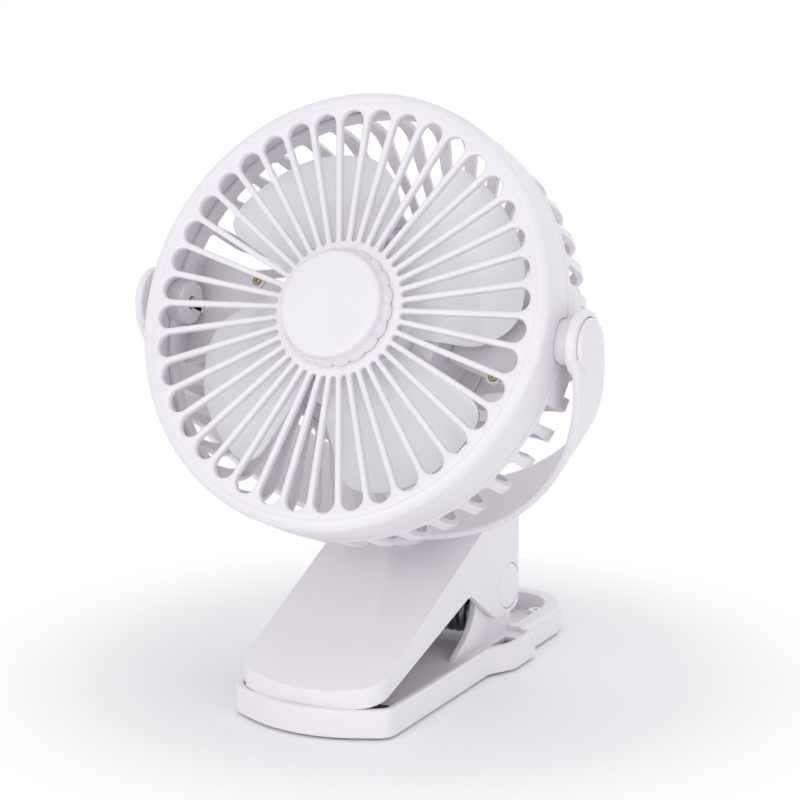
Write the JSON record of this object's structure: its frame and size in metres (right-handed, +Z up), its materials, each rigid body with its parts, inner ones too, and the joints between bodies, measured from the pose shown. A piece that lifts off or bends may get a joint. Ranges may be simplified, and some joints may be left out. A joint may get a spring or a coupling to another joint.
{
  "type": "clip fan",
  "caption": "Small round fan with a tilting slotted head in a swivelling yoke, carried on a spring clip whose flat lower jaw also serves as its stand.",
  "frame": {"origin": "underside of the sole, in the middle of the lower jaw's length and width", "axes": "+X to the right along the tilt axis, +Y to the back (the tail of the jaw), +Z up"},
  "size_m": [0.17, 0.1568, 0.2069],
  "materials": {
    "shell_white": "satin white moulding",
    "rotor_white": "satin white with a cool tone",
    "rubber_black": "matt black",
    "steel": "bright zinc plate",
    "motor_steel": "satin can",
    "spring_steel": "dark wire",
    "brass": "plain",
    "felt": "soft off-white",
    "cell_wrap": "blue wrap",
    "board_green": "solder mask",
    "switch_black": "matt",
    "lens_clear": "translucent"
  },
  "bodies": {
    "base": {"lower_jaw": "shell_white", "base_sole": "rubber_black", "lower_jaw_pad": "rubber_black", "clip_pin": "steel", "spring_arbor": "shell_white", "jaw_spring": "spring_steel", "sole_screw_1": "steel", "sole_screw_2": "steel", "sole_screw_3": "steel", "sole_screw_4": "steel"},
    "jaw": {"upper_jaw": "shell_white", "upper_jaw_pad": "rubber_black", "pivot_cap_right": "shell_white", "pivot_cap_left": "shell_white"},
    "yoke_arm": {"yoke": "shell_white", "yoke_cap_right": "shell_white", "yoke_cap_left": "shell_white", "swivel_washer": "steel", "swivel_retainer": "shell_white", "swivel_screw": "steel"},
    "head": {"front_ring": "shell_white", "front_grille": "shell_white", "rear_shell": "shell_white", "motor_pod": "shell_white", "post_insert_1": "brass", "post_insert_2": "brass", "tilt_screw_right": "steel", "tilt_screw_left": "steel", "tilt_washer_right": "steel", "tilt_washer_left": "steel", "scent_pad": "felt", "motor": "motor_steel", "motor_screw_1": "steel", "motor_screw_2": "steel", "battery_cell": "cell_wrap", "control_board": "board_green", "button_switch": "switch_black", "charge_port": "steel", "indicator_lens": "lens_clear", "rear_cover": "shell_white", "cover_screw_1": "steel", "cover_screw_2": "steel", "cover_screw_3": "steel"},
    "fan_rotor": {"rotor": "rotor_white", "motor_shaft": "steel"},
    "cap": {"hub_cap": "shell_white"},
    "button": {"power_button": "shell_white"}
  },
  "joints": [
    {"name": "clip_open", "type": "hinge", "parent": "base", "child": "jaw", "pos_m": [0, 0.0282, 0.0272], "axis": [-1, 0, 0], "range_deg": [0, 26], "stiffness_Nm_per_rad": 1.5, "springref_deg": -20.05},
    {"name": "yoke_swivel", "type": "hinge", "parent": "jaw", "child": "yoke_arm", "pos_m": [0, -0.03298, 0.13248], "axis": [0, -0.4099, 0.9121], "continuous": true},
    {"name": "head_tilt", "type": "hinge", "parent": "yoke_arm", "child": "head", "pos_m": [0, -0.03298, 0.13248], "axis": [1, 0, 0], "continuous": true},
    {"name": "fan_spin", "type": "hinge", "parent": "head", "child": "fan_rotor", "pos_m": [0, -0.03298, 0.13248], "axis": [0, -0.9121, 0.4099], "continuous": true},
    {"name": "hub_cap_turn", "type": "hinge", "parent": "head", "child": "cap", "pos_m": [0, -0.03298, 0.13248], "axis": [0, -0.9121, 0.4099], "range_deg": [0, 20]},
    {"name": "power_press", "type": "slide", "parent": "head", "child": "button", "axis": [0, -0.9121, 0.4099], "range_m": [0, 0.0006], "stiffness_N_per_m": 800}
  ]
}
